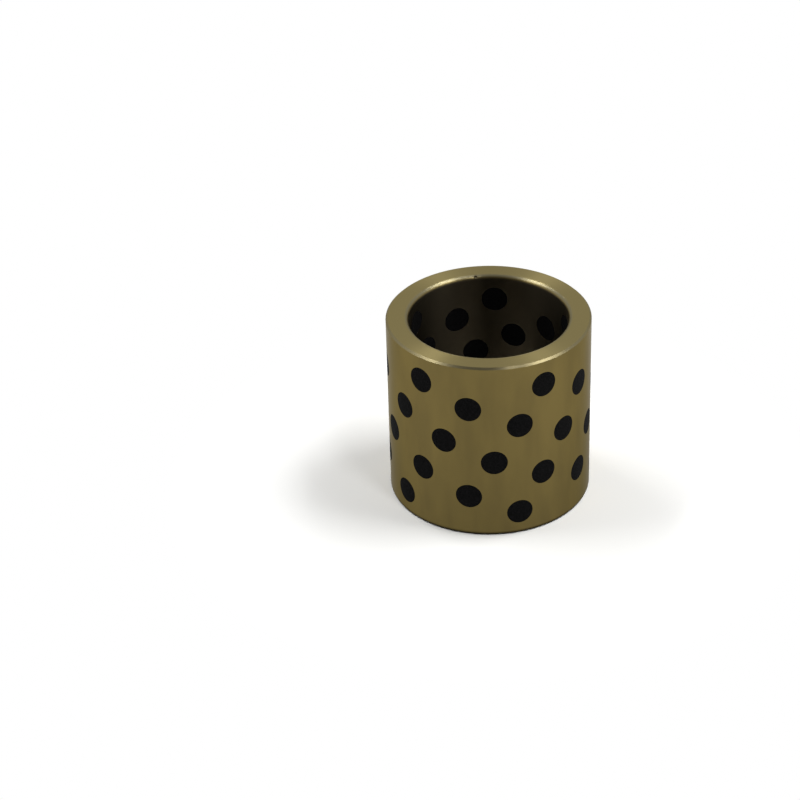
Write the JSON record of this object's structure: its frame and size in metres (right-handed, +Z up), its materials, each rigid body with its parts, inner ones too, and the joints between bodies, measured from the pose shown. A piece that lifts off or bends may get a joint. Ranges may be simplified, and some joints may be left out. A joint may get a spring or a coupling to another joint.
{
  "type": "graphite plugged bushing",
  "caption": "Plain cylindrical bronze bushing with solid graphite plugs let flush into its wall, for dry running on a shaft.",
  "frame": {"origin": "centre of the lower end face, on the bore's axis", "axes": "+Z up along the bore's axis, from the lower end to the upper; -Y towards the viewer"},
  "size_m": [0.063, 0.063, 0.06],
  "materials": {
    "turned_bronze": "finely turned, satin, with faint tool lines round the axis",
    "graphite": "matt black pressed graphite, machined flush"
  },
  "bodies": {
    "root": {"bushing_sleeve": "turned_bronze", "plug_ring1_1": "graphite", "plug_ring1_2": "graphite", "plug_ring1_3": "graphite", "plug_ring1_4": "graphite", "plug_ring1_5": "graphite", "plug_ring2_1": "graphite", "plug_ring2_2": "graphite", "plug_ring2_3": "graphite", "plug_ring2_4": "graphite", "plug_ring2_5": "graphite", "plug_ring3_1": "graphite", "plug_ring3_2": "graphite", "plug_ring3_3": "graphite", "plug_ring3_4": "graphite", "plug_ring3_5": "graphite", "plug_ring4_1": "graphite", "plug_ring4_2": "graphite", "plug_ring4_3": "graphite", "plug_ring4_4": "graphite", "plug_ring4_5": "graphite", "plug_ring5_1": "graphite", "plug_ring5_2": "graphite", "plug_ring5_3": "graphite", "plug_ring5_4": "graphite", "plug_ring5_5": "graphite", "plug_ring6_1": "graphite", "plug_ring6_2": "graphite", "plug_ring6_3": "graphite", "plug_ring6_4": "graphite", "plug_ring6_5": "graphite", "plug_ring7_1": "graphite", "plug_ring7_2": "graphite", "plug_ring7_3": "graphite", "plug_ring7_4": "graphite", "plug_ring7_5": "graphite", "plug_ring8_1": "graphite", "plug_ring8_2": "graphite", "plug_ring8_3": "graphite", "plug_ring8_4": "graphite", "plug_ring8_5": "graphite"}
  },
  "joints": []
}
